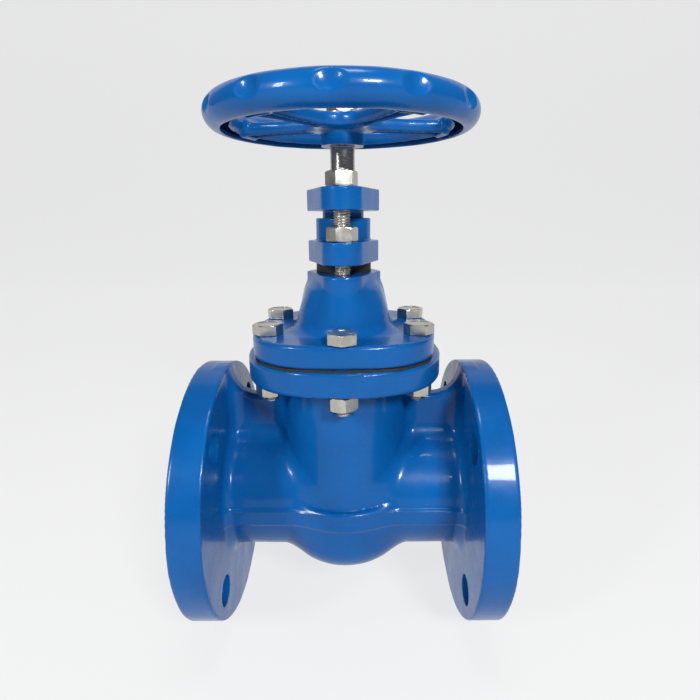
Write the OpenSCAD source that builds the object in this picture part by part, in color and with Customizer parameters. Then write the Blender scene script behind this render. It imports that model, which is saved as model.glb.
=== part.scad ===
// Flanged wedge gate valve, non-rising stem, bolted bonnet and bolted stuffing box.
// Millimetres. Origin where the flow axis meets the stem axis.
// +X along the flow bore, +Z up the stem, -Y is the front. The gate is drawn fully open.

/* [Line flanges] */
// outside diameter of the two line flanges
flange_od = 175; // [150:1:200]
// thickness of the flange rim without the raised face
flange_t = 20; // [14:0.5:26]
// raised sealing face, diameter
raised_d = 120; // [105:1:130]
// raised sealing face, height
raised_h = 2; // [1:0.5:3]
// pitch circle of the four line bolts
line_pcd = 140; // [125:1:150]
// line bolt hole diameter
line_hole_d = 19; // [15:0.5:23]
// length over both raised faces
face_to_face = 198; // [180:1:230]
// flow bore diameter
bore_d = 65; // [60:0.5:68]
// outside diameter of the pipe necks
neck_od = 80; // [76:1:86]

/* [Body casting] */
// half width of the barrel across the flow
barrel_r = 40; // [38:0.5:44]
// how far each barrel half-round is moved to front and back
barrel_shift = 5; // [2:0.5:8]
// thickness of the webs between line flanges and barrel
web_t = 12; // [8:1:16]
// depth of the bowl under the flow axis
bowl_depth = 47; // [44:0.5:54]
// underside of the body's top flange
top_flange_z = 85; // [82:0.5:88]
// top of the body's top flange
body_top_z = 100; // [98:0.5:102]

/* [Bonnet] */
// bonnet gasket thickness
gasket_t = 1.5; // [1:0.1:3]
// top of the bonnet flange
bonnet_flange_z = 115; // [112:0.5:118]
// top of the bonnet neck
bonnet_top_z = 150; // [148:0.5:152]
// pitch circle of the six bonnet bolts
bonnet_pcd = 105; // [100:1:110]

/* [Stuffing box and gland] */
// thickness of the ring between the bonnet neck and the stuffing box
neck_ring_t = 6; // [4:0.5:7]
// top of the stuffing box flange
box_flange_z = 169; // [165:0.5:172]
// top of the stuffing box cup
box_top_z = 182.3; // [180:0.1:184]
// underside of the gland flange
gland_z = 186.3; // [186:0.1:190]
// thickness of the gland flange
gland_t = 12.7; // [10:0.1:14]
// distance of each stud from the stem axis
stud_y = 28; // [26:0.5:30]

/* [Stem and gate] */
// stem shank diameter
stem_d = 15; // [14:0.1:16]
// stem thread diameter
thread_d = 16; // [15.5:0.1:18]
// taper of each gate face in degrees
wedge_angle = 5; // [3:0.5:8]
// gate travel from closed to open
lift = 70; // [66:1:72]
// radius of the gate disc
gate_r = 36.5; // [36:0.1:37]

/* [Handwheel] */
// handwheel outside diameter
wheel_od = 159.6; // [140:0.5:180]
// height of the middle of the rim
rim_z = 239.4; // [236:0.1:244]
// diameter of the rim section
rim_d = 17.6; // [14:0.1:18]
// turn of the first spoke from the front, in degrees
spoke_turn = -39; // [-72:1:72]

/* [Hidden] */
face_x = face_to_face / 2;
rim_x = face_x - raised_h;
back_x = rim_x - flange_t;
bore_r = bore_d / 2;
stem_r = stem_d / 2;
bonnet_z = body_top_z + gasket_t;
box_z = bonnet_top_z + neck_ring_t;
bolt_r = 5;
bolt_hole_r = 5.5;
hex_r = 16 / sqrt(3);
nut_h = 8.4;
head_h = 6.4;
seat_t0 = 15;
seat_gap = 0.3;
rim_r = (wheel_od - rim_d) / 2;
hub_top_z = 240;
hub_low_z = 223.2;
$fn = 96;

// ---------- shared shapes ----------

// points the +Z axis of its children along +X
module along_x() rotate([0, 90, 0]) children();

// repeats its children at the six bonnet bolt places
module at_bonnet_bolts()
    for (k = [0:5]) rotate([0, 0, -90 + 60 * k]) translate([bonnet_pcd / 2, 0, 0]) children();

// repeats its children at the two stud places
module at_studs() for (s = [-1, 1]) translate([0, s * stud_y, 0]) children();

// disc with both edges chamfered
module chamfered_disc(r, h, c_low, c_top)
    rotate_extrude() polygon([[0, 0], [r - c_low, 0], [r, c_low], [r, h - c_top],
        [r - c_top, h], [0, h]]);

// rounded square plate of the bonnet joint; bow flattens its four sides
module joint_plate(half_x, half_y, bow, corner, h, c_low, c_top)
    intersection() {
        chamfered_disc(corner, h, c_low, c_top);
        intersection_for (a = [0:90:270]) rotate([0, 0, a]) translate([-bow, 0, 0])
            chamfered_disc((a % 180 == 0 ? half_x : half_y) + bow, h, c_low, c_top);
    }

// half-rounds of radius r at y = +-shift with a straight part between
module stadium(r, shift, h) {
    for (s = [0, 180]) rotate([0, 0, s]) translate([0, shift, 0])
        rotate_extrude(angle = 180) square([r, h]);
    translate([-r, -shift, 0]) cube([2 * r, 2 * shift, h]);
}

// outer tangent point on a circle of radius r at p, for a line from circle a to circle b
function tangent_point(p, r, a, ra, b, rb) =
    let (d = norm(b - a), u = (b - a) / d, s = (ra - rb) / d,
        n = u * s + [-u[1], u[0]] * sqrt(1 - s * s)) p + (r - 0.12) * n;

// two-bolt lozenge: round noses at front and back, narrow round corners at the sides
module lozenge_2d(half_w, nose_r, side_r) {
    a = [0, stud_y];
    b = [half_w - side_r, 0];
    p = tangent_point(a, nose_r, a, nose_r, b, side_r);
    q = tangent_point(b, side_r, a, nose_r, b, side_r);
    polygon([p, q, [q[0], -q[1]], [p[0], -p[1]], [-p[0], -p[1]], [-q[0], -q[1]],
        [-q[0], q[1]], [-p[0], p[1]]]);
    for (s = [-1, 1]) {
        translate([0, s * stud_y]) circle(r = nose_r);
        translate([s * (half_w - side_r), 0]) circle(r = side_r);
    }
}

module lozenge(half_w, nose_r, side_r, h)
    linear_extrude(h) lozenge_2d(half_w, nose_r, side_r);

// nut with chamfered corners and a plain bore
module nut(h, bore)
    difference() {
        intersection() {
            cylinder(h = h, r = hex_r, $fn = 6);
            chamfered_disc(hex_r + 0.05, h, 0.9, 0.9);
        }
        translate([0, 0, -1]) cylinder(h = h + 2, r = bore);
    }

// disc on the flow axis, tilted by the wedge angle, from off to off + t
module seat_space(r, off, t)
    rotate([0, wedge_angle, 0]) translate([0, 0, 1.2]) along_x() translate([0, 0, off])
        cylinder(h = t, r = r);

// ---------- body casting ----------

// revolved pipe: both line flanges, necks and neck fillets
module pipe_profile() {
    square([neck_od / 2, back_x + 1]);
    difference() {
        translate([neck_od / 2 - 1, back_x - 5.5]) square([6.5, 6]);
        translate([neck_od / 2 + 5.85, back_x - 5.85]) circle(r = 6);
    }
    polygon([[0, back_x], [flange_od / 2 - 1.5, back_x], [flange_od / 2, back_x + 1.5],
        [flange_od / 2, rim_x - 1], [flange_od / 2 - 1, rim_x], [raised_d / 2, rim_x],
        [raised_d / 2, face_x], [0, face_x]]);
}

// side view of the bowl, a flattened round bottom
module bowl_2d() intersection() {
    translate([0, 120 - bowl_depth]) circle(r = 120);
    translate([-103.5, -5]) circle(r = 148);
    translate([0, -bowl_depth - 1]) square([60, bowl_depth + 1]);
    polygon([[0, 1], [61, 1], [61, 33.5 - bowl_depth], [bowl_depth - 33.5, -61], [0, -61]]);
}

module bowl() {
    for (s = [0, 180]) rotate([0, 0, s]) translate([0, barrel_shift - 1, 0])
        rotate_extrude(angle = 180) bowl_2d();
    for (s = [0, 1]) mirror([s, 0, 0]) translate([0, barrel_shift - 1, 0])
        rotate([90, 0, 0]) linear_extrude(2 * barrel_shift - 2) bowl_2d();
}

// upright webs from the line flanges to the barrel, with a hollow top edge
module side_webs()
    for (s = [0, 1]) mirror([s, 0, 0]) translate([0, web_t / 2, 0]) rotate([90, 0, 0])
        linear_extrude(web_t) polygon([[34, 30], [back_x + 1, 30], [back_x + 1, 81],
            [back_x - 3, 75.5], [back_x - 8, 71.5], [back_x - 14, 69], [back_x - 20, 68],
            [back_x - 27, 69], [back_x - 33, 71.5], [back_x - 38, 76], [34, 80]]);

module body_outside() {
    for (s = [0, 1]) mirror([s, 0, 0]) along_x() rotate_extrude() pipe_profile();
    stadium(barrel_r, barrel_shift, body_top_z - 2);
    bowl();
    translate([0, 0, -8]) stadium(43, 6, 13);
    side_webs();
    translate([0, 0, top_flange_z]) joint_plate(62, 62, 28, 65.5, body_top_z - top_flange_z, 1, 2);
}

// chamber the gate travels in
module gate_chamber() {
    intersection() {
        along_x() translate([0, 0, -18]) cylinder(h = 36, r = gate_r + 1);
        translate([-30, -50, -50]) cube([60, 100, 50.01]);
    }
    difference() {
        translate([-19, -gate_r - 1, 0]) cube([38, 2 * gate_r + 2, 94]);
        for (x = [-1, 1], y = [-1, 1]) translate([x * 19, y * (gate_r + 1), -1])
            rotate([0, 0, 45]) translate([-2.8, -2.8, 0]) cube([5.6, 5.6, 96]);
    }
    translate([0, 0, 46]) stadium(32, 5.5, body_top_z);
}

// upright rails that guide the gate at front and back
module guide_rails()
    for (s = [-1, 1]) translate([-3, s * 36 - 2.2, -20]) cube([6, 4.4, 112]);

module body()
    color([0.07, 0.33, 0.66]) {
        difference() {
            body_outside();
            difference() {
                gate_chamber();
                guide_rails();
            }
            along_x() translate([0, 0, -face_x - 1]) cylinder(h = face_to_face + 2, r = bore_r);
            for (s = [0, 1]) mirror([s, 0, 0]) seat_space(36, seat_t0 - 4, 14.3);
            for (a = [45:90:315]) rotate([a, 0, 0]) translate([-face_x - 1, 0, line_pcd / 2])
                rotate([0, 90, 0]) cylinder(h = flange_t + raised_h + 2, r = line_hole_d / 2);
            for (a = [45:90:315]) rotate([a, 0, 0]) translate([back_x - 1, 0, line_pcd / 2])
                rotate([0, 90, 0]) cylinder(h = flange_t + raised_h + 2, r = line_hole_d / 2);
            at_bonnet_bolts() translate([0, 0, top_flange_z - 1])
                cylinder(h = 30, r = bolt_hole_r);
            for (s = [-1, 1]) translate([0, s * bonnet_pcd / 2, 72])
                cylinder(h = top_flange_z - 72, r = 10.5);
        }
    }

// seat rings pressed into the body, bored in line with the flow
module seat_rings()
    color([0.78, 0.62, 0.28])
        for (s = [0, 1]) mirror([s, 0, 0]) difference() {
            seat_space(36, seat_t0 + seat_gap, 10);
            along_x() cylinder(h = 60, r = bore_r);
        }

// ---------- bonnet ----------

module bonnet_gasket()
    color([0.10, 0.10, 0.10]) translate([0, 0, body_top_z]) difference() {
        joint_plate(56.6, 59.6, 80, 64, gasket_t, 0.1, 0.1);
        translate([0, 0, -1]) stadium(33, 6, gasket_t + 2);
        at_bonnet_bolts() translate([0, 0, -1]) cylinder(h = gasket_t + 2, r = bolt_hole_r);
    }

// half width of the bonnet bell by height
module bell_2d()
    polygon([[0, 104], [48, 104], [35, 116.6], [31.8, 118.2], [30, 120.5], [28.9, 124],
        [26.6, 131], [23.8, 138], [20, 139.6], [0, 139.6]]);

module bell() {
    for (s = [0, 180]) rotate([0, 0, s]) translate([0, 10, 0])
        rotate_extrude(angle = 180) bell_2d();
    for (s = [0, 1]) mirror([s, 0, 0]) translate([0, 10, 0])
        rotate([90, 0, 0]) linear_extrude(20) bell_2d();
}

module bonnet()
    color([0.07, 0.33, 0.66]) difference() {
        union() {
            translate([0, 0, bonnet_z])
                joint_plate(57.5, 60.5, 80, 65, bonnet_flange_z - bonnet_z, 1, 2);
            bell();
            translate([0, 0, 130]) lozenge(23.3, 12.5, 3, bonnet_top_z - 130);
        }
        translate([0, 0, bonnet_z - 1]) stadium(22, 12, 10);
        translate([0, 0, bonnet_z]) cylinder(h = 133 - bonnet_z, r = 20.5);
        translate([0, 0, 130]) cylinder(h = 10, r = 9.5);
        translate([0, 0, 138]) cylinder(h = 20, r = 13);
        at_bonnet_bolts() translate([0, 0, bonnet_z - 1]) cylinder(h = 20, r = bolt_hole_r);
        for (s = [-1, 1]) translate([0, s * bonnet_pcd / 2, bonnet_flange_z])
            cylinder(h = 13, r = 10.5);
        at_studs() translate([0, 0, 133]) cylinder(h = 30, r = bolt_r);
    }

// bush that guides the stem in the bonnet floor
module stem_bush()
    color([0.78, 0.62, 0.28]) translate([0, 0, 133]) difference() {
        cylinder(h = 5, r = 9.5);
        translate([0, 0, -1]) cylinder(h = 7, r = thread_d / 2 + 0.1);
    }

// six hexagon bolts of the bonnet joint
module bonnet_bolts()
    color([0.62, 0.61, 0.58]) at_bonnet_bolts() {
        translate([0, 0, bonnet_flange_z]) intersection() {
            cylinder(h = head_h, r = hex_r, $fn = 6);
            chamfered_disc(hex_r + 0.05, head_h, 0.05, 1);
        }
        translate([0, 0, 73]) chamfered_disc(bolt_r, bonnet_flange_z - 72, 0.8, 0.1);
    }

module bonnet_nuts()
    color([0.62, 0.61, 0.58]) at_bonnet_bolts()
        translate([0, 0, top_flange_z - nut_h]) nut(nut_h, bolt_r);

// ---------- gate ----------

// solid wedge with a hollow for the stem and a cross slot for its nut
module wedge()
    color([0.36, 0.37, 0.38]) translate([0, 0, lift]) difference() {
        union() {
            intersection() {
                along_x() translate([0, 0, -25]) cylinder(h = 50, r = gate_r);
                intersection_for (s = [0, 1]) mirror([s, 0, 0]) rotate([0, wedge_angle, 0])
                    translate([-60 + seat_t0 - 1.5, -60, -60]) cube([60, 120, 120]);
            }
            intersection() {
                translate([0, 0, 26]) cylinder(h = 32, r = 19);
                translate([-16, -30, 0]) cube([32, 60, 60]);
            }
        }
        translate([0, 0, -32.5]) cylinder(h = 120, r = 8.8);
        translate([-12.2, -30, 37.8]) cube([24.4, 60, 16.4]);
        for (s = [-1, 1]) translate([-3.6, s * 36 - 2.6, -40]) cube([7.2, 5.2, 80]);
        for (s = [0, 1]) mirror([s, 0, 0]) difference() {
            seat_space(36, seat_t0 - 4, 10);
            seat_space(32.5, seat_t0 - 5, 12);
        }
    }

// hard rings set in both faces of the wedge
module wedge_rings()
    color([0.78, 0.62, 0.28]) translate([0, 0, lift])
        for (s = [0, 1]) mirror([s, 0, 0]) difference() {
            seat_space(36, seat_t0 - 4, 4);
            seat_space(32.5, seat_t0 - 5, 6);
        }

// square nut that slides into the slot of the wedge
module stem_nut()
    color([0.78, 0.62, 0.28]) translate([0, 0, lift + 38]) difference() {
        translate([-12, -14, 0]) cube([24, 28, 16]);
        translate([0, 0, -1]) cylinder(h = 18, r = thread_d / 2 + 0.1);
    }

// ---------- stem and its seals ----------

module stem()
    color([0.70, 0.69, 0.66]) {
        rotate_extrude() polygon([[0, 38.5], [thread_d / 2 - 1.5, 38.5], [thread_d / 2, 40],
            [thread_d / 2, 139], [9.2, 139], [9.2, 140.1], [11.5, 140.1], [11.5, 144.9],
            [stem_r, 144.9], [stem_r, hub_low_z], [0, hub_low_z]]);
        intersection() {
            translate([-5.5, -5.5, hub_low_z - 1]) cube([11, 11, 240 - hub_low_z + 1]);
            translate([0, 0, hub_low_z - 1]) chamfered_disc(stem_r, 240 - hub_low_z + 1, 0.1, 0.6);
        }
        translate([0, 0, 239]) chamfered_disc(bolt_r, 12.7, 0.1, 0.8);
    }

module thrust_washer_lower()
    color([0.78, 0.62, 0.28]) translate([0, 0, 138]) difference() {
        cylinder(h = 1.8, r = 12.8);
        translate([0, 0, -1]) cylinder(h = 4, r = 9.5);
    }

module thrust_washer_upper()
    color([0.78, 0.62, 0.28]) translate([0, 0, 145.2]) difference() {
        cylinder(h = 1.8, r = 12.8);
        translate([0, 0, -1]) cylinder(h = 4, r = stem_r + 0.3);
    }

module neck_ring()
    color([0.08, 0.08, 0.08]) translate([0, 0, bonnet_top_z]) difference() {
        cylinder(h = neck_ring_t, r = 17.2);
        translate([0, 0, -1]) cylinder(h = neck_ring_t + 2, r = 12.9);
    }

module stuffing_box()
    color([0.07, 0.33, 0.66]) difference() {
        union() {
            translate([0, 0, 147]) cylinder(h = 10, r = 12.9);
            translate([0, 0, box_z]) lozenge(22, 12.5, 3, box_flange_z - box_z);
            translate([0, 0, box_z + 1]) chamfered_disc(17, box_top_z - box_z - 1, 0.5, 1);
        }
        translate([0, 0, 140]) cylinder(h = 30, r = stem_r + 0.3);
        translate([0, 0, 160]) cylinder(h = 30, r = 13);
        at_studs() translate([0, 0, box_z - 1]) cylinder(h = 30, r = bolt_hole_r);
    }

// metal ring under the packing
module packing_base_ring()
    color([0.78, 0.62, 0.28]) translate([0, 0, 160]) difference() {
        cylinder(h = 2, r = 13);
        translate([0, 0, -1]) cylinder(h = 4, r = stem_r + 0.3);
    }

// three soft rings around the stem
module packing()
    color([0.20, 0.20, 0.19]) for (k = [0:2]) translate([0, 0, 162 + k * 4.83]) difference() {
        cylinder(h = 4.8, r = 12.95);
        translate([0, 0, -1]) cylinder(h = 7, r = stem_r + 0.1);
    }

// gland follower: flange and sleeve in one piece
module gland()
    color([0.07, 0.33, 0.66]) difference() {
        union() {
            translate([0, 0, gland_z]) lozenge(22.2, 12.5, 3, gland_t);
            translate([0, 0, 176.55]) cylinder(h = gland_z - 176, r = 12.7);
        }
        translate([0, 0, 170]) cylinder(h = 60, r = stem_r + 0.3);
        at_studs() translate([0, 0, gland_z - 1]) cylinder(h = 30, r = bolt_hole_r);
    }

module gland_studs()
    color([0.62, 0.61, 0.58]) at_studs() translate([0, 0, 134])
        chamfered_disc(bolt_r, 74.5, 0.8, 0.8);

module box_nuts()
    color([0.62, 0.61, 0.58]) at_studs() translate([0, 0, box_flange_z]) nut(nut_h, bolt_r);

module gland_nuts()
    color([0.62, 0.61, 0.58]) at_studs() translate([0, 0, gland_z + gland_t])
        nut(nut_h, bolt_r + 0.1);

// ---------- handwheel ----------

// hollow rim section, open underneath
module rim_2d()
    difference() {
        circle(r = rim_d / 2);
        circle(r = rim_d / 2 - 3);
        translate([-4.6, -rim_d]) square([4.1, rim_d]);
    }

// plan of one spoke, wider where it meets the rim
module spoke_2d(inset)
    polygon([[8, -5.5 + inset], [46, -5.5 + inset], [rim_r - 5.5, -9.5 + inset],
        [rim_r - 5.5, 9.5 - inset], [46, 5.5 - inset], [8, 5.5 - inset]]);

// rim with finger scallops around its outside
module rim()
    difference() {
        translate([0, 0, rim_z]) rotate_extrude() translate([rim_r, 0]) rim_2d();
        for (k = [0:11]) rotate([0, 0, -92.5 + 30 * k])
            translate([wheel_od / 2 + 10.4, 0, rim_z - 12]) cylinder(h = 24, r = 12);
    }

// five spokes, hollow underneath
module spokes()
    for (k = [0:4]) rotate([0, 0, -90 + spoke_turn + 72 * k]) difference() {
        translate([0, 0, 232]) linear_extrude(8) spoke_2d(0);
        translate([0, 0, 231]) linear_extrude(5.5) difference() {
            spoke_2d(2.6);
            circle(r = 19);
        }
    }

module handwheel()
    color([0.07, 0.33, 0.66]) difference() {
        union() {
            rim();
            spokes();
            translate([0, 0, 232]) chamfered_disc(17, hub_top_z - 232, 1.5, 1);
            translate([0, 0, hub_low_z]) chamfered_disc(12.8, 12, 0.5, 0.2);
        }
        intersection() {
            translate([-5.55, -5.55, 220]) cube([11.1, 11.1, 30]);
            translate([0, 0, 220]) cylinder(h = 30, r = stem_r + 0.05);
        }
    }

module wheel_washer()
    color([0.62, 0.61, 0.58]) translate([0, 0, hub_top_z]) difference() {
        chamfered_disc(11, 1.6, 0.2, 0.4);
        translate([0, 0, -1]) cylinder(h = 4, r = bolt_r + 0.2);
    }

module wheel_nut()
    color([0.62, 0.61, 0.58]) translate([0, 0, hub_top_z + 1.6]) nut(nut_h, bolt_r);

body();
seat_rings();
bonnet_gasket();
bonnet();
stem_bush();
bonnet_bolts();
bonnet_nuts();
wedge();
wedge_rings();
stem_nut();
stem();
thrust_washer_lower();
thrust_washer_upper();
neck_ring();
stuffing_box();
packing_base_ring();
packing();
gland();
gland_studs();
box_nuts();
gland_nuts();
handwheel();
wheel_washer();
wheel_nut();
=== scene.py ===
"""Flanged gate valve. Castings, fasteners and threads are grown from distance fields around the
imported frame. Lengths are millimetres, apart from the studio and the camera, which are in metres."""

import math

import bpy
import numpy as np
from mathutils import Matrix, Vector


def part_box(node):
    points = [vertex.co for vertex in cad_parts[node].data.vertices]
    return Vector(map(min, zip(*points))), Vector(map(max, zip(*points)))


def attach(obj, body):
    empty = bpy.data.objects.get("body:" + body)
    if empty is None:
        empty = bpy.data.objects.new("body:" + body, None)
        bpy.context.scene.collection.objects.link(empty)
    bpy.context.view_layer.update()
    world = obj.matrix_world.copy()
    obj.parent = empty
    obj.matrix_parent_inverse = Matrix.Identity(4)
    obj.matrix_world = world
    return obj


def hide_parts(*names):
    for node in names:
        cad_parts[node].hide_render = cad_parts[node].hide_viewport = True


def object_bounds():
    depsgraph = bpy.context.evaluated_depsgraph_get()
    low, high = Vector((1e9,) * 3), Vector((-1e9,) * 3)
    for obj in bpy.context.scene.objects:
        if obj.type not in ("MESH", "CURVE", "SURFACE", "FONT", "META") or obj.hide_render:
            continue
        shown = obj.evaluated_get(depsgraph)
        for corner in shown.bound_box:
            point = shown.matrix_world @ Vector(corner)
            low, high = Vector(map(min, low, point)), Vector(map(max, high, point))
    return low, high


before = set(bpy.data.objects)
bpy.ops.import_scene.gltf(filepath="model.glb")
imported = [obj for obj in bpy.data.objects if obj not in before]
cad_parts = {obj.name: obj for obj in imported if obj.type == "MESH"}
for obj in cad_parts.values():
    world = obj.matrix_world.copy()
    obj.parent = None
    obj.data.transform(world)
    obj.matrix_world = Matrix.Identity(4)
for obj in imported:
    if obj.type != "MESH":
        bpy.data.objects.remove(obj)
cad_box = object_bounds()


def span(node):
    """Lowest and highest corner of a CAD node, in mm."""
    low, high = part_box(node)
    return np.array(low) * 1000.0, np.array(high) * 1000.0


# ---------------------------------------------------------------- sizes from the frame
BODY_LOW, BODY_HIGH = span("body")
FACE_X = BODY_HIGH[0]
RIM_X = FACE_X - 2.0  # where the raised face starts
BACK_X = RIM_X - 20.0  # back of a line flange
FLANGE_R = BODY_HIGH[1]
BODY_TOP = BODY_HIGH[2]
PIPE_R = 40  # outside of the necks and of the barrel
BORE_R = 32.5
LINE_HOLE_AT = 49.497  # from the flow axis, in y and in z
LINE_HOLE_R = 9.5
TOP_PLATE = 15  # thickness of the body's top flange
BOWL_R = 120  # curve of the bowl's flattened bottom
BOWL_DEPTH = 47  # below the flow axis
GATE_ROOM_TOP = 94
BONNET_LOW, BONNET_HIGH = span("bonnet")
BONNET_Z = BONNET_LOW[2]
NECK_TOP = BONNET_HIGH[2]
NECK_Z = 118  # lowest reach of the bonnet's neck prism
BOX_LOW, BOX_HIGH = span("stuffing_box")
BOX_TOP = BOX_HIGH[2]
BOX_FLANGE_Z = span("box_nuts")[0][2]
BOX_Z = span("neck_ring")[1][2]
GLAND_LOW, GLAND_HIGH = span("gland")
GLAND_TOP = GLAND_HIGH[2]
GLAND_Z = GLAND_TOP - 12.7  # underside of the gland's flange
HEAD_H = 6.4  # height of a bolt head
NUT_H = 8.4
HEAD_Z = span("bonnet_bolts")[1][2] - HEAD_H
NUT_Z = span("bonnet_nuts")[0][2]
BOLT_END = span("bonnet_bolts")[0][2]
STUD_LOW, STUD_HIGH = span("gland_studs")
WHEEL_LOW, WHEEL_HIGH = span("handwheel")
RIM_D = 17.6  # thickness of the wheel's rim
RIM_WALL = 2.9
RIM_R = WHEEL_HIGH[0] - RIM_D / 2
RIM_Z = WHEEL_HIGH[2] - RIM_D / 2
HUB_TOP = span("wheel_washer")[0][2]
HUB_LOW = WHEEL_LOW[2]
STEM_LOW, STEM_HIGH = span("stem")
STUD_Y = 28.0
BONNET_BOLT_R = 52.5
HOLE_R = 5.5  # clearance holes of bolts and studs
SPOT_R = 10.5  # spot face under a nut
HEX_AF = 16.0
HEX_REACH = 9.3  # half width across corners, with a little room
M10_R, M10_PITCH, M10_DEPTH = 5.0, 1.5, 0.85
STEM_R = 7.5
GLAND_BORE_R = 7.8
PACKING_R = 13
WEDGE = math.radians(5.0)  # tilt of each seat
SPOKES = [math.radians(-90 - 39 + 72 * k) for k in range(5)]
DIMPLES = [math.radians(-92.5 + 30 * k) for k in range(12)]

# ---------------------------------------------------------------- distance fields


def join(a, b, r=0.0):
    """Union of two solids, with a round fillet of radius r in the corner."""
    if r == 0:
        return np.minimum(a, b)
    u, v = np.maximum(r - a, 0), np.maximum(r - b, 0)
    return np.maximum(r, np.minimum(a, b)) - np.hypot(u, v)


def both(a, b, r=0.0):
    """Intersection of two solids, with its edge rounded to radius r."""
    if r == 0:
        return np.maximum(a, b)
    u, v = np.maximum(r + a, 0), np.maximum(r + b, 0)
    return np.minimum(-r, np.maximum(a, b)) + np.hypot(u, v)


def cut(a, b, r=0.0):
    """Solid a without solid b, with the new edge rounded to radius r."""
    return both(a, -b, r)


def slab(z, z0, z1):
    """Everything between z0 and z1."""
    return np.maximum(z0 - z, z - z1)


def stadium(x, y, r, shift):
    """Two half rounds, moved apart in y by shift each, and the flat between."""
    return np.hypot(x, np.maximum(np.abs(y) - shift, 0)) - r


def plate_plan(x, y, half_x, half_y, bow, corner):
    """Rounded square plan of the bonnet joint; bow flattens its sides."""
    x, y = np.abs(x), np.abs(y)
    d = both(np.hypot(x + bow, y) - half_x - bow, np.hypot(x, y + bow) - half_y - bow, 6)
    return both(d, np.hypot(x, y) - corner, 4)


def lozenge_plan(x, y, half_w, nose_r=12.5, side_r=3.0):
    """Two-bolt lozenge: round noses in y, narrow round corners in x."""
    x, y = np.abs(x), np.abs(y)
    bx = half_w - side_r
    length = math.hypot(bx, STUD_Y)
    ux, uy = bx / length, -STUD_Y / length
    along = x * ux + (y - STUD_Y) * uy
    off = x * -uy + (y - STUD_Y) * ux
    s = (nose_r - side_r) / length
    c = math.sqrt(1 - s * s)
    k = off * s - along * c
    nose = np.hypot(x, y - STUD_Y) - nose_r
    side = np.hypot(x - bx, y) - side_r
    flat = along * s + off * c - nose_r
    return np.where(k > 0, nose, np.where(-k > length * c, side, flat))


def ripple(x, y, z, amp=0.08):
    """The slight unevenness of a cast and painted surface."""
    long_wave = np.sin(x / 6.1 + 1.7 * np.sin(y / 9.3 + 0.4)) * np.sin(z / 7.3 + np.sin(x / 11.0))
    short_wave = 0.6 * np.sin(y / 4.3 + 1.1 * np.sin(z / 5.9)) * np.sin(x / 5.2 + 0.7)
    return amp * (1.6 + long_wave + short_wave)


def bolt_circle(x, y):
    """Distance to the nearest of the six bonnet bolt axes."""
    x, y = np.abs(x), np.abs(y)
    return np.minimum(np.hypot(x, y - BONNET_BOLT_R),
                      np.hypot(x - BONNET_BOLT_R * math.cos(math.pi / 6), y - BONNET_BOLT_R / 2))


def stud_hole(x, y, r=HOLE_R):
    """The two upright holes of the gland studs."""
    return np.hypot(x, np.abs(y) - STUD_Y) - r


# hollow top edge of the webs between the barrel and the line flanges
WEB_X = np.array([34, 39, 44, 50, 57, 63, 69, 74, 78.0])
WEB_Z = np.array([80, 76, 71.5, 69, 68, 69, 71.5, 75.5, 81.0])


def arm_field(x, y, z):
    """Necks and line flanges, with the mould seam along the necks."""
    ax = np.abs(x)
    pipe = np.hypot(y, z)
    seam = 0.6 * (np.tanh(z + 8) - np.tanh(z - 3.2)) + 0.6 * np.exp(-((z - 2.2) / 1.1) ** 2)
    seam = seam + 0.5 * np.exp(-((z + 6.6) / 1.2) ** 2)
    neck = both(0.9 * (pipe - PIPE_R - seam * (np.abs(y) > 20)), ax - BACK_X - 5)
    flange = both(pipe - FLANGE_R, slab(ax, BACK_X, RIM_X), 1.6)
    return join(neck, flange, 6)


def core_field(x, y, z):
    """Barrel, bowl and the double-lipped belt where they meet."""
    ay = np.abs(y)
    plan = np.hypot(x, np.maximum(ay - 5, 0))
    barrel = both(plan - PIPE_R, slab(z, -3, BODY_TOP - 7))
    rho = np.hypot(x, np.maximum(ay - 4, 0))
    bottom = np.hypot(rho, z - (BOWL_R - BOWL_DEPTH)) - BOWL_R
    side = np.hypot(rho + 103.5, z + 5) - 148
    bowl = both(both(bottom, side, 13), z)
    rim = stadium(x, y, 41.5, 6)
    belt = both(rim - 1.2, slab(z, -8.0, 5.0), 2.0)
    belt = join(belt, np.hypot(rim, z - 2.6) - 2.2, 1.2)
    belt = join(belt, np.hypot(rim, z + 5.6) - 2.3, 1.2)
    return join(join(barrel, bowl), belt, 1.8)


def web_field(x, y, z):
    """Upright webs from the barrel to the line flanges."""
    ax = np.abs(x)
    crest = np.interp(ax, WEB_X, WEB_Z)
    web = both(np.abs(y) - 6, both(0.85 * (z - crest), 30 - z), 3)
    return both(web, slab(ax, 30, BACK_X + 3))


def gate_room(x, y, z):
    """Chamber that the gate travels in, with its two guide rails left standing."""
    ax, ay = np.abs(x), np.abs(y)
    low = both(np.hypot(y, z) - 37.5, ax - 18)
    low = np.where(z > 0, 99.0, low)
    mid = both(both(ax - 19, ay - 37.2, 3), slab(z, -0.01, GATE_ROOM_TOP))
    high = both(stadium(x, y, 32, 5.5), 46 - z, 3)
    room = np.minimum(np.minimum(low, mid), high)
    rail = np.maximum(np.maximum(ax - 3, 33.8 - ay), slab(z, -20, 92))
    return np.maximum(room, -rail)


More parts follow.
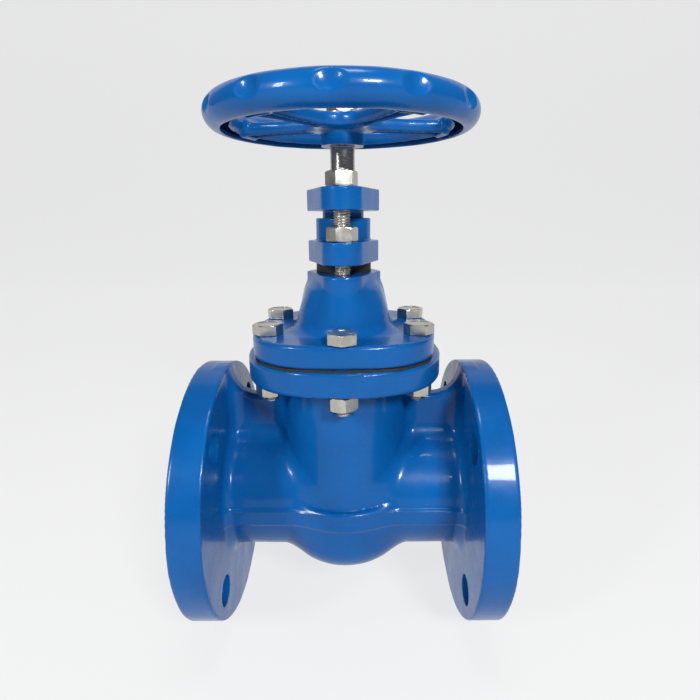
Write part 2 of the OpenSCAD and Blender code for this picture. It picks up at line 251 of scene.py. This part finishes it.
def body_field(p):
    x, y, z = p.T
    ax, ay = np.abs(x), np.abs(y)
    pipe = np.hypot(y, z)
    shape = join(core_field(x, y, z), arm_field(x, y, z), 6)
    shape = join(shape, web_field(x, y, z), 9)
    top = both(plate_plan(x, y, 62, 62, 28, 65.5), slab(z, BODY_TOP - TOP_PLATE, BODY_TOP), 2.2)
    shape = join(shape, top, 4) + ripple(x, y, z)
    joint = plate_plan(x, y, 60.5, 60.5, 28, 64)
    shape = join(shape, both(joint, slab(z, BODY_TOP - 5, BODY_TOP), 0.3))
    shape = join(shape, both(pipe - 60, slab(ax, RIM_X - 4, FACE_X), 0.5))
    shape = cut(shape, gate_room(x, y, z))
    shape = cut(shape, pipe - BORE_R, 0.4)
    u = ax * math.cos(WEDGE) - z * math.sin(WEDGE)
    w = ax * math.sin(WEDGE) + z * math.cos(WEDGE) - 1.2
    shape = cut(shape, np.maximum(np.hypot(y, w) - 36.05, slab(u, 11, 25.35)))
    line = np.hypot(ay - LINE_HOLE_AT, np.abs(z) - LINE_HOLE_AT) - LINE_HOLE_R
    shape = cut(shape, np.maximum(line, 70 - ax), 0.8)
    shape = cut(shape, np.maximum(bolt_circle(x, y) - HOLE_R, BODY_TOP - 17 - z), 0.3)
    pocket = np.hypot(x, ay - BONNET_BOLT_R) - SPOT_R
    return cut(shape, np.maximum(pocket, slab(z, 70, BODY_TOP - TOP_PLATE)), 1.2)


# half width of the bonnet's bell at each height
BELL_Z = np.array([100, 112, 118, 121, 124.5, 128, 131, 134.5, 138, 141, 144, 146, 148, 152.0])
BELL_W = np.array([30.6, 30.2, 29.7, 29.2, 28.5, 27.6, 26.6, 25.3, 23.8, 22.0, 19.3, 16.5, 12, 2.0])


def bonnet_field(p):
    x, y, z = p.T
    ay = np.abs(y)
    plan = stadium(x, y, 0, 10)
    bell = 0.9 * (plan - np.interp(z, BELL_Z, BELL_W))
    bell = both(bell, z - 142, 2)
    prism = both(lozenge_plan(x, y, 23.3), slab(z, NECK_Z, NECK_TOP), 1.4)
    flange = both(plate_plan(x, y, 57.5, 60.5, 80, 65), slab(z, BONNET_Z, HEAD_Z), 2.6)
    shape = join(join(bell, prism, 7), flange, 6.5) + ripple(x, y, z)
    joint = plate_plan(x, y, 56, 59, 80, 63.5)
    shape = join(shape, both(joint, slab(z, BONNET_Z, BONNET_Z + 4), 0.3))
    hollow = np.minimum(both(stadium(x, y, 22, 12), z - BONNET_Z - 9, 3),
                        both(np.hypot(x, y) - 20.5, z - 133, 3))
    shape = cut(shape, hollow)
    bore = np.hypot(x, y)
    shape = cut(shape, np.maximum(bore - 9.5, slab(z, 130, 140)))
    shape = cut(shape, np.maximum(bore - PACKING_R, 138 - z), 0.5)
    shape = cut(shape, bolt_circle(x, y) - HOLE_R, 0.3)
    spot = np.maximum(np.hypot(x, ay - BONNET_BOLT_R) - 10.6, HEAD_Z - z)
    shape = cut(shape, spot, 1.5)
    return cut(shape, np.maximum(stud_hole(x, y, M10_R), 133 - z))


def box_field(p):
    x, y, z = p.T
    bore = np.hypot(x, y)
    flange = both(lozenge_plan(x, y, 22.0), slab(z, BOX_Z, BOX_FLANGE_Z), 0.9)
    cup = both(bore - 17, slab(z, BOX_Z + 2, BOX_TOP), 1.0)
    shape = join(flange, cup, 1.6) + ripple(x, y, z, 0.06)
    shape = join(shape, both(bore - 12.9, slab(z, BOX_LOW[2], BOX_Z + 3), 0.3))
    shape = cut(shape, bore - GLAND_BORE_R)
    shape = cut(shape, np.maximum(bore - PACKING_R, 160 - z), 0.4)
    return cut(shape, stud_hole(x, y), 0.4)


def gland_field(p):
    x, y, z = p.T
    bore = np.hypot(x, y)
    flange = both(lozenge_plan(x, y, 22.2), slab(z, GLAND_Z, GLAND_TOP), 0.9)
    flange = flange + ripple(x, y, z, 0.06)
    shape = join(flange, both(bore - 12.7, slab(z, GLAND_LOW[2], GLAND_Z + 3), 0.5), 0.6)
    shape = cut(shape, bore - GLAND_BORE_R, 0.5)
    return cut(shape, stud_hole(x, y), 0.4)


def dimples(x, y, z, depth=2.7, ball_r=13.0, tilt=math.radians(14)):
    """Finger dimples around the outside of the wheel's rim."""
    off = RIM_D / 2 + ball_r - depth
    reach = RIM_R + off * math.cos(tilt)
    ball = np.full(len(x), 99.0)
    for a in DIMPLES:
        cx, cy = math.cos(a), math.sin(a)
        ball = np.minimum(ball, np.sqrt((x - cx * reach) ** 2 + (y - cy * reach) ** 2
                                        + (z - RIM_Z - off * math.sin(tilt)) ** 2) - ball_r)
    return ball


def wheel_field(p):
    """Hollow dimpled rim with a slot under it, five channel-shaped spokes and a hub."""
    x, y, z = p.T
    rad = np.hypot(x, y)
    qx, qz = rad - RIM_R, z - RIM_Z
    ring = np.hypot(qx, qz)
    shape = ring - RIM_D / 2
    post = both(rad - 12.8, slab(z, HUB_LOW, HUB_TOP - 3), 0.5)
    hollow = np.full(len(x), 99.0)
    plan = rad - 17
    for a in SPOKES:
        u = x * math.cos(a) + y * math.sin(a)
        v = np.abs(-x * math.sin(a) + y * math.cos(a))
        flare = np.interp(u, [0, 40, 52, 60, 68], [5.4, 5.4, 6.2, 7.6, 10.5])
        plan = join(plan, both(v - flare, slab(u, 4, RIM_R - 4)), 7)
        groove = both(both(v - flare + 2.6, z - HUB_TOP + 3.6, 1.2), slab(u, 19, RIM_R - 9), 2)
        hollow = np.minimum(hollow, groove)
    web = join(both(plan, slab(z, HUB_TOP - 8, HUB_TOP), 3.2), post, 2.5)
    shape = join(shape, web, 4) + ripple(x, y, z, 0.07)
    shape = cut(shape, hollow, 0.8)
    ball = dimples(x, y, z)
    shape = cut(shape, np.maximum(ring - RIM_D / 2 + RIM_WALL, RIM_WALL - ball))
    slot = both(slab(qx, -5.4, -0.4), qz, 0.0)
    shape = cut(shape, np.maximum(slot, -(RIM_D / 2 + 9) - qz), 0.8)
    shape = cut(shape, ball, 0.9)
    square = np.maximum(np.maximum(np.abs(x) - 5.55, np.abs(y) - 5.55), rad - 7.55)
    return cut(shape, square, 0.3)


def hex_plan(x, y, af=HEX_AF):
    x, y = np.abs(x), np.abs(y)
    return np.maximum(y, x * math.cos(math.pi / 6) + y / 2) - af / 2


def thread(x, y, z, major, pitch, depth, hand=1, crest=0.12, slope=0.75):
    """Distance to a threaded shaft; crest and slope are shares of half a pitch."""
    turn = z / pitch - hand * np.arctan2(y, x) / (2 * math.pi)
    wave = np.abs(turn - np.round(turn)) * 2
    return 0.7 * (np.hypot(x, y) - major + depth * np.clip((wave - crest) / slope, 0, 1))


def chamfer_cone(x, y, z, z0, z1, af=HEX_AF, low=True, high=True):
    """30 degree chamfer of a hexagon's corners."""
    rad = np.hypot(x, y) - af / 2 * 0.985
    t = math.tan(math.radians(30))
    d = np.full(len(x), -9.0)
    if high:
        d = np.maximum(d, (z - z1 + rad * t) * math.cos(math.radians(30)))
    if low:
        d = np.maximum(d, (z0 - z + rad * t) * math.cos(math.radians(30)))
    return d


def nut_field(height, bore=M10_R):
    """Hexagon nut with both faces chamfered and the ends of its bore flared."""
    def field(p):
        x, y, z = p.T
        shape = both(hex_plan(x, y), slab(z, 0, height), 0.25)
        shape = both(shape, chamfer_cone(x, y, z, 0, height), 0.25)
        flare = 0.5 * np.maximum(0, np.maximum(1 - z, z - height + 1))
        return cut(shape, np.hypot(x, y) - bore - 0.02 - flare)
    return field


def bolt_field(head, low):
    """Hexagon bolt with its head on z = 0 and its end at z = low."""
    def field(p):
        x, y, z = p.T
        shape = both(hex_plan(x, y), slab(z, 0, head), 0.25)
        shape = both(shape, chamfer_cone(x, y, z, 0, head, low=False), 0.25)
        dish = np.hypot(x, y) - 6.2
        shape = cut(shape, np.maximum(dish, head - 0.45 - z), 0.2)
        rad = np.hypot(x, y)
        screw = thread(x, y, z, M10_R, M10_PITCH, M10_DEPTH)
        shank = np.where(z < low + 22, screw, rad - M10_R)
        tip = rad - M10_R + 0.9 * np.maximum(0, low + 1.2 - z)
        return np.minimum(shape, np.maximum(np.maximum(shank, tip), slab(z, low, 1)))
    return field


def stud_field(low, high):
    """Stud threaded all along, with chamfered ends."""
    def field(p):
        x, y, z = p.T
        tip = np.hypot(x, y) - M10_R + 0.9 * np.maximum(0, np.maximum(low + 1.2 - z, z - high + 1.2))
        screw = thread(x, y, z, M10_R, M10_PITCH, M10_DEPTH)
        return np.maximum(np.maximum(screw, tip), slab(z, low, high))
    return field


def stem_field(p):
    """Left-hand trapezoidal thread, collar, shank, square and threaded end."""
    x, y, z = p.T
    rad = np.hypot(x, y)
    low, top = STEM_LOW[2], STEM_HIGH[2]
    screw = thread(x, y, z, 8.0, 4.0, 2.0, -1, 0.366, 0.268)
    screw = np.maximum(screw, rad - 8 + np.maximum(0, low + 1.5 - z))
    shape = np.maximum(screw, slab(z, low, 128))
    shape = np.minimum(shape, both(rad - 8.0, slab(z, 127, 139.5), 0.4))
    shape = np.minimum(shape, both(rad - 9.2, slab(z, 139, 142), 0.2))
    shape = np.minimum(shape, both(rad - 11.5, slab(z, 140.1, 144.9), 0.4))
    shape = np.minimum(shape, both(rad - STEM_R, slab(z, 142, HUB_LOW), 0.4))
    square = both(np.maximum(np.abs(x), np.abs(y)) - 5.5, rad - 7.45, 0.2)
    shape = np.minimum(shape, np.maximum(square, slab(z, HUB_LOW - 2, HUB_TOP)))
    tip = rad - M10_R + 0.9 * np.maximum(0, z - top + 1.2)
    end = np.maximum(thread(x, y, z, M10_R, M10_PITCH, M10_DEPTH), tip)
    return np.minimum(shape, np.maximum(end, slab(z, HUB_TOP - 2, top)))


# ---------------------------------------------------------------- meshing
BLOCK = 8  # cells along the side of a block that is kept or skipped whole
BATCH = 400000  # points worked out at a time
QUICK = 1.0


def evaluate(field, points):
    """The field at many points, in batches."""
    return np.concatenate([field(points[i:i + BATCH]) for i in range(0, len(points), BATCH)])


def gradient(field, points, h=0.01):
    """Unit normals from four samples at the corners of a small tetrahedron."""
    out = np.zeros_like(points)
    for k in ((1, -1, -1), (-1, -1, 1), (-1, 1, -1), (1, 1, 1)):
        k = np.array(k, float)
        out += evaluate(field, points + h * k)[:, None] * k
    return out / np.maximum(np.linalg.norm(out, axis=1), 1e-9)[:, None]


def contour(field, low, high, cell):
    """Dual contouring of field = 0 between two corners: vertices and quads."""
    cell *= QUICK
    low, high = np.array(low, float) - 1.5 * cell, np.array(high, float) + 1.5 * cell
    blocks = np.ceil((high - low) / cell / BLOCK).astype(int)
    grid = np.stack(np.meshgrid(*[np.arange(b) for b in blocks], indexing="ij"), -1).reshape(-1, 3)
    middle = low + (grid + 0.5) * BLOCK * cell
    value = evaluate(field, middle)
    near = np.abs(value) < BLOCK * cell * 1.25
    far = np.where(value < 0, -1e3, 1e3).reshape(blocks)
    shape = blocks * BLOCK + 1
    f = np.repeat(np.repeat(np.repeat(far, BLOCK, 0), BLOCK, 1), BLOCK, 2)
    f = np.pad(f, ((0, 1),) * 3, mode="edge")
    tick = np.arange(BLOCK + 1)
    local = np.stack(np.meshgrid(tick, tick, tick, indexing="ij"), -1).reshape(-1, 3)
    index = (grid[near][:, None, :] * BLOCK + local[None]).reshape(-1, 3)
    flat = np.unique(np.ravel_multi_index(index.T, shape))
    index = np.stack(np.unravel_index(flat, shape), -1)
    f.ravel()[flat] = evaluate(field, low + index * cell)
    cells, spots = [], []
    for d in range(3):
        u, v = (d + 1) % 3, (d + 2) % 3
        a = f[tuple(slice(0, -1) if i == d else slice(None) for i in range(3))]
        b = f[tuple(slice(1, None) if i == d else slice(None) for i in range(3))]
        cross = np.argwhere((a < 0) != (b < 0))
        cross = cross[np.all(cross > 0, axis=1)]
        step = np.zeros(3, int)
        step[d] = 1
        fa, fb = f[tuple(cross.T)], f[tuple((cross + step).T)]
        flip = fa >= 0
        start = low + cross * cell
        t0, t1 = np.zeros(len(cross)), np.ones(len(cross))
        for _ in range(3):
            t = t0 + (t1 - t0) * np.clip(fa / (fa - fb), 0.05, 0.95)
            fm = evaluate(field, start + (t * cell)[:, None] * step)
            same = (fm < 0) == (fa < 0)
            t0, fa = np.where(same, t, t0), np.where(same, fm, fa)
            t1, fb = np.where(same, t1, t), np.where(same, fb, fm)
        t = t0 + (t1 - t0) * np.clip(fa / np.where(fa == fb, 1, fa - fb), 0, 1)
        spots.append(start + (t * cell)[:, None] * step)
        eu, ev = np.zeros(3, int), np.zeros(3, int)
        eu[u], ev[v] = 1, 1
        ring = np.stack([cross, cross - eu, cross - eu - ev, cross - ev], 1)
        ring[flip] = ring[flip][:, ::-1]
        cells.append(np.ravel_multi_index(ring.reshape(-1, 3).T, shape).reshape(-1, 4))
    cells, spots = np.concatenate(cells), np.concatenate(spots)
    normals = gradient(field, spots)
    unique, quads = np.unique(cells.ravel(), return_inverse=True)
    quads = quads.reshape(-1, 4)
    owner = quads.ravel()
    n4, p4 = np.repeat(normals, 4, 0), np.repeat(spots, 4, 0)
    plane = np.sum(n4 * p4, 1)

    def total(w):
        return np.bincount(owner, weights=w, minlength=len(unique))

    number = total(np.ones(len(owner)))
    mass = np.stack([total(p4[:, i]) for i in range(3)], 1) / number[:, None]
    ata = np.zeros((len(unique), 3, 3))
    for i in range(3):
        for j in range(i, 3):
            ata[:, i, j] = ata[:, j, i] = total(n4[:, i] * n4[:, j])
    atb = np.stack([total(n4[:, i] * plane) for i in range(3)], 1)
    rest = atb - np.einsum("nij,nj->ni", ata, mass)
    soft = ata + (0.03 * number)[:, None, None] * np.eye(3)
    points = mass + np.linalg.solve(soft, rest[:, :, None])[:, :, 0]
    corner = low + np.stack(np.unravel_index(unique, shape), -1) * cell
    points = np.clip(points, corner - 0.05 * cell, corner + 1.05 * cell)
    return points, quads


def piece(name, points, quads, body, slot, material, nodes=(), at=((0, 0, 0, 0),), sharp=32):
    """Object from a mesh in mm, repeated at (x, y, z, turn)."""
    all_points, all_quads = [], []
    for i, (x, y, z, turn) in enumerate(at):
        c, s = math.cos(turn), math.sin(turn)
        spun = points @ np.array([[c, s, 0], [-s, c, 0], [0, 0, 1]]) + (x, y, z)
        all_points.append(spun)
        all_quads.append(quads + i * len(points))
    points, quads = np.concatenate(all_points) / 1000.0, np.concatenate(all_quads)
    mesh = bpy.data.meshes.new(name)
    mesh.vertices.add(len(points))
    mesh.vertices.foreach_set("co", points.astype(np.float32).ravel())
    mesh.loops.add(quads.size)
    mesh.loops.foreach_set("vertex_index", quads.ravel().astype(np.int32))
    mesh.polygons.add(len(quads))
    mesh.polygons.foreach_set("loop_start", np.arange(len(quads), dtype=np.int32) * 4)
    mesh.update(calc_edges=True)
    mesh.validate()
    mesh.polygons.foreach_set("use_smooth", np.ones(len(mesh.polygons), bool))
    mesh.set_sharp_from_angle(angle=math.radians(sharp))
    mesh.materials.append(material)
    thing = bpy.data.objects.new(name, mesh)
    bpy.context.scene.collection.objects.link(thing)
    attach(thing, body)
    if nodes:
        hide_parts(*nodes)
    print("piece", name, len(points), "points")
    return thing


# ---------------------------------------------------------------- materials
class Nodes:
    """Short way to write a node material."""

    def __init__(self, name):
        self.material = bpy.data.materials.new(name)
        self.material.use_nodes = True
        self.tree = self.material.node_tree
        self.tree.nodes.clear()
        self.out = self.add("ShaderNodeOutputMaterial")
        self.shader = self.add("ShaderNodeBsdfPrincipled")
        self.link(self.shader, "BSDF", self.out, "Surface")
        self.place = self.add("ShaderNodeTexCoord")

    def add(self, kind, **values):
        node = self.tree.nodes.new(kind)
        for key, value in values.items():
            if hasattr(node, key):
                setattr(node, key, value)
            else:
                node.inputs[key.replace("_", " ")].default_value = value
        return node

    def link(self, a, out, b, into):
        self.tree.links.new(a.outputs[out], b.inputs[into])

    def noise(self, scale, detail=3.0, roughness=0.5, stretch=None):
        node = self.add("ShaderNodeTexNoise")
        node.inputs["Scale"].default_value = scale
        node.inputs["Detail"].default_value = detail
        node.inputs["Roughness"].default_value = roughness
        if stretch:
            mapping = self.add("ShaderNodeMapping")
            mapping.inputs["Scale"].default_value = stretch
            self.link(self.place, "Object", mapping, "Vector")
            self.link(mapping, "Vector", node, "Vector")
        else:
            self.link(self.place, "Object", node, "Vector")
        return node

    def ramp(self, source, out, stops):
        node = self.add("ShaderNodeValToRGB")
        while len(node.color_ramp.elements) < len(stops):
            node.color_ramp.elements.new(0.5)
        for element, (at, color) in zip(node.color_ramp.elements, stops):
            element.position = at
            element.color = (*color, 1) if len(color) == 3 else color
        self.link(source, out, node, "Fac")
        return node

    def bump(self, source, out, strength, distance, before=None):
        node = self.add("ShaderNodeBump")
        node.inputs["Strength"].default_value = strength
        node.inputs["Distance"].default_value = distance
        self.link(source, out, node, "Height")
        if before:
            self.link(before, "Normal", node, "Normal")
        return node


def grey(v):
    return (v, v, v)


def paint():
    """Glossy blue enamel over a cast surface."""
    n = Nodes("blue_enamel")
    s = n.shader
    tone = n.noise(26, 4)
    colour = n.ramp(tone, "Fac", [(0.30, (0.0014, 0.070, 0.250)), (0.72, (0.0022, 0.092, 0.315))])
    n.link(colour, "Color", s, "Base Color")
    rough = n.ramp(n.noise(60, 5), "Fac", [(0.3, grey(0.22)), (0.75, grey(0.34))])
    n.link(rough, "Color", s, "Roughness")
    s.inputs["Specular IOR Level"].default_value = 0.15
    s.inputs["Coat Weight"].default_value = 0.2
    s.inputs["Coat Roughness"].default_value = 0.06
    s.inputs["IOR"].default_value = 1.45
    wave = n.bump(n.noise(55, 2), "Fac", 0.30, 0.0010)
    peel = n.bump(n.noise(380, 3), "Fac", 0.12, 0.0002, wave)
    n.link(peel, "Normal", s, "Normal")
    return n.material


def steel(name, base, rough_low, rough_high, turned=False):
    """Bare or plated metal; turned metal gets fine rings around its axis."""
    n = Nodes(name)
    s = n.shader
    s.inputs["Metallic"].default_value = 1.0
    stretch = (40, 40, 900) if turned else None
    tone = n.noise(6 if turned else 140, 4, 0.6, stretch)
    dark = tuple(0.72 * c for c in base)
    n.link(n.ramp(tone, "Fac", [(0.3, dark), (0.7, base)]), "Color", s, "Base Color")
    rough = n.ramp(tone, "Fac", [(0.25, grey(rough_low)), (0.75, grey(rough_high))])
    n.link(rough, "Color", s, "Roughness")
    fine = n.bump(n.noise(700, 3), "Fac", 0.15, 0.0001)
    n.link(fine, "Normal", s, "Normal")
    return n.material


def rubber(name, base):
    """Dull dark sealing material."""
    n = Nodes(name)
    s = n.shader
    tone = n.noise(300, 4)
    lighter = tuple(1.8 * c for c in base)
    n.link(n.ramp(tone, "Fac", [(0.3, base), (0.75, lighter)]), "Color", s, "Base Color")
    s.inputs["Roughness"].default_value = 0.7
    n.link(n.bump(n.noise(900, 4), "Fac", 0.4, 0.0003), "Normal", s, "Normal")
    return n.material


PAINT = paint()
ZINC = steel("zinc_plate", (0.60, 0.58, 0.53), 0.26, 0.42)
STEM = steel("turned_steel", (0.66, 0.64, 0.60), 0.16, 0.30, True)
BRONZE = steel("seat_bronze", (0.62, 0.42, 0.17), 0.22, 0.40)
IRON = steel("bare_iron", (0.20, 0.20, 0.21), 0.45, 0.65)
GASKET = rubber("black_gasket", (0.006, 0.006, 0.007))
GRAPHITE = rubber("graphite_packing", (0.03, 0.03, 0.03))


def dress(node, material):
    """Gives a CAD node that stays its material."""
    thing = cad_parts[node]
    thing.data.materials.clear()
    thing.data.materials.append(material)


for node in ("seat_rings", "stem_bush", "wedge_rings", "stem_nut", "thrust_washer_lower",
             "thrust_washer_upper", "packing_base_ring"):
    dress(node, BRONZE)
dress("wedge", IRON)
dress("bonnet_gasket", GASKET)
dress("neck_ring", GASKET)
dress("packing", GRAPHITE)
dress("wheel_washer", ZINC)

# ---------------------------------------------------------------- castings
piece("body_casting", *contour(body_field, BODY_LOW, BODY_HIGH, 1.2), "valve_body",
      "blue_paint", PAINT, ["body"])
piece("bonnet_casting", *contour(bonnet_field, BONNET_LOW, BONNET_HIGH, 1.0), "valve_body",
      "blue_paint", PAINT, ["bonnet"])
piece("stuffing_box_casting", *contour(box_field, BOX_LOW, BOX_HIGH, 0.7), "valve_body",
      "blue_paint", PAINT, ["stuffing_box"])
piece("gland_casting", *contour(gland_field, GLAND_LOW, GLAND_HIGH, 0.7), "gland", "blue_paint",
      PAINT, ["gland"])
piece("handwheel_casting", *contour(wheel_field, WHEEL_LOW, WHEEL_HIGH, 0.9), "stem_and_wheel",
      "blue_paint", PAINT, ["handwheel"])

piece("stem_turned", *contour(stem_field, STEM_LOW, STEM_HIGH, 0.5), "stem_and_wheel",
      "stem_steel", STEM, ["stem"])

# ---------------------------------------------------------------- fasteners
HEX_CELL = 0.45


def hex_mesh(field, low, high):
    """Mesh of a bolt or nut that stands on the z axis from low to high."""
    return contour(field, (-HEX_REACH, -HEX_REACH, low), (HEX_REACH, HEX_REACH, high), HEX_CELL)


def stud_places(z, turn):
    """Front and back stud axes, each nut turned by its own angle."""
    return [(0, s * STUD_Y, z, turn + s) for s in (-1, 1)]


bonnet_places = []
for k in range(6):
    a = math.radians(-90 + 60 * k)
    bonnet_places.append((BONNET_BOLT_R * math.cos(a), BONNET_BOLT_R * math.sin(a), a))
shank_low = BOLT_END - HEAD_Z
bolt = hex_mesh(bolt_field(HEAD_H, shank_low), shank_low, HEAD_H)
piece("bonnet_bolt_set", *bolt, "valve_body", "zinc_steel", ZINC, ["bonnet_bolts"],
      [(x, y, HEAD_Z, a + 0.35 * i) for i, (x, y, a) in enumerate(bonnet_places)])
nut = hex_mesh(nut_field(NUT_H), 0, NUT_H)
piece("bonnet_nut_set", *nut, "valve_body", "zinc_steel", ZINC, ["bonnet_nuts"],
      [(x, y, NUT_Z, a + 0.2 + 0.5 * i) for i, (x, y, a) in enumerate(bonnet_places)])
stud_length = STUD_HIGH[2] - STUD_LOW[2]
stud = contour(stud_field(0, stud_length), (-M10_R, -M10_R, 0), (M10_R, M10_R, stud_length), 0.4)
piece("gland_stud_pair", *stud, "valve_body", "zinc_steel", ZINC, ["gland_studs"],
      [(0, s * STUD_Y, STUD_LOW[2], 0) for s in (-1, 1)])
piece("box_nut_pair", *nut, "valve_body", "zinc_steel", ZINC, ["box_nuts"],
      stud_places(BOX_FLANGE_Z, 0.1))
wide = hex_mesh(nut_field(NUT_H, 5.1), 0, NUT_H)
piece("gland_nut_pair", *wide, "gland", "zinc_steel", ZINC, ["gland_nuts"],
      stud_places(GLAND_TOP, 0.15))
piece("wheel_nut_hex", *nut, "stem_and_wheel", "zinc_steel", ZINC, ["wheel_nut"],
      [(0, 0, span("wheel_nut")[0][2], 0.2)])

# ---------------------------------------------------------------- studio
FLOOR_GLOW = 0.74


def sweep(width=8.0, front=-3.0, bend=1.6, radius=1.4, height=4.5):
    """Pale floor that curves up into the wall behind the object, in metres."""
    z = cad_box[0][2]
    line = [(front, z), (bend, z)]
    line += [(bend + radius * math.sin(a), z + radius - radius * math.cos(a))
             for a in np.linspace(0.1, math.pi / 2, 16)]
    line.append((bend + radius, z + height))
    points = [(s * width / 2, y, h) for y, h in line for s in (-1, 1)]
    faces = [(2 * i, 2 * i + 1, 2 * i + 3, 2 * i + 2) for i in range(len(line) - 1)]
    mesh = bpy.data.meshes.new("floor")
    mesh.from_pydata(points, [], faces)
    mesh.polygons.foreach_set("use_smooth", np.ones(len(faces), bool))
    floor = bpy.data.objects.new("floor", mesh)
    bpy.context.scene.collection.objects.link(floor)
    n = Nodes("pale_floor")
    n.shader.inputs["Base Color"].default_value = (0.12, 0.12, 0.12, 1)
    n.shader.inputs["Roughness"].default_value = 0.9
    n.shader.inputs["Emission Color"].default_value = (1, 1, 1, 1)
    n.shader.inputs["Emission Strength"].default_value = FLOOR_GLOW
    mesh.materials.append(n.material)


def softbox(name, at, size, power):
    """Rectangular white lamp at a place in metres, aimed at the middle of the valve."""
    lamp = bpy.data.lights.new(name, "AREA")
    lamp.shape = "RECTANGLE"
    lamp.size, lamp.size_y = size
    lamp.energy = power
    thing = bpy.data.objects.new(name, lamp)
    thing.location = at
    thing.rotation_euler = (Vector((0, 0, 0.08)) - Vector(at)).to_track_quat("-Z", "Y").to_euler()
    bpy.context.scene.collection.objects.link(thing)


sweep()
world = bpy.data.worlds.new("studio")
world.use_nodes = True
world.node_tree.nodes["Background"].inputs["Color"].default_value = (0.80, 0.88, 1.0, 1)
world.node_tree.nodes["Background"].inputs["Strength"].default_value = 0.10
bpy.context.scene.world = world
softbox("key", (0.37, -0.82, 0.62), (0.20, 0.20), 10)
softbox("left", (-0.75, -0.75, 0.55), (0.12, 0.30), 7)
softbox("top", (0.05, -0.15, 1.3), (0.3, 0.3), 4)

# ---------------------------------------------------------------- camera
YAW, PITCH, ROLL = math.radians(-0.25), math.radians(15.13), math.radians(-0.34)
EYE = (0.00821, -0.3226, 0.18185)  # metres
level = math.cos(PITCH)
forward = Vector((math.sin(YAW) * level, math.cos(YAW) * level, -math.sin(PITCH)))
side = Vector((math.cos(YAW), -math.sin(YAW), 0))
top = side.cross(forward)
right = side * math.cos(ROLL) + top * math.sin(ROLL)
up = top * math.cos(ROLL) - side * math.sin(ROLL)
lens = bpy.data.cameras.new("camera")
lens.sensor_width = 36
lens.lens = 25.83
lens.shift_x, lens.shift_y = -0.0071, 0.0062
lens.clip_start = 0.01
eye = bpy.data.objects.new("camera", lens)
turn = Matrix((right, up, -forward)).transposed().to_4x4()
eye.matrix_world = Matrix.Translation(EYE) @ turn
bpy.context.scene.collection.objects.link(eye)
bpy.context.scene.camera = eye
bpy.context.scene.view_settings.view_transform = "Standard"
